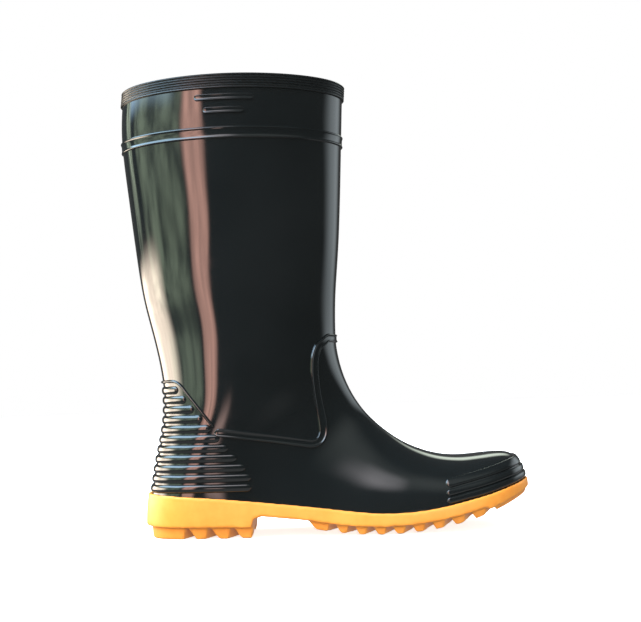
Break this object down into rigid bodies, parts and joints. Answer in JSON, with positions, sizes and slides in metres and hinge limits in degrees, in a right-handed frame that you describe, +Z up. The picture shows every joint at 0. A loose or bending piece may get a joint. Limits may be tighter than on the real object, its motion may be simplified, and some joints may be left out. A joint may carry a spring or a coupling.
{
  "type": "fire boot",
  "caption": "Knee-length firefighter's rubber boot for the right foot, with a cleated sole, ribbed heel and toe and a lined leg.",
  "frame": {"origin": "centre of the boot's outline, on the ground under the tread", "axes": "+Z up the leg, +X towards the toe, -Y the outer side of the foot"},
  "size_m": [0.3225, 0.1162, 0.361],
  "materials": {
    "upper_rubber": "near-black moulded rubber with a wet-looking gloss",
    "outsole_rubber": "yellow-orange satin tread rubber",
    "cork": "granulated cork",
    "steel": "hardened strip steel",
    "cap_steel": "grey painted pressed steel",
    "strip_rubber": "soft black rubber",
    "board": "pressed fibre board",
    "stiffener": "stiff grey sheet",
    "felt": "needled grey felt",
    "knit": "plain knitted natural cotton",
    "foam": "dark soft foam",
    "cover": "dark grey brushed fabric"
  },
  "bodies": {
    "root": {"upper_shell": "upper_rubber", "top_band": "upper_rubber", "calf_band": "upper_rubber", "ankle_band": "upper_rubber", "grip_bar_upper": "upper_rubber", "grip_bar_lower": "upper_rubber", "heel_border": "upper_rubber", "heel_ribs": "upper_rubber", "toe_ribs": "upper_rubber", "outsole": "outsole_rubber", "heel_core": "cork", "bottom_filler": "cork", "shank": "steel", "penetration_plate": "steel", "toe_cap": "cap_steel", "cap_edge_strip": "strip_rubber", "insole_board": "board", "heel_stiffener": "stiffener", "felt_layer": "felt", "lining_sock": "knit", "footbed_foam": "foam", "footbed_cover": "cover"}
  },
  "joints": []
}
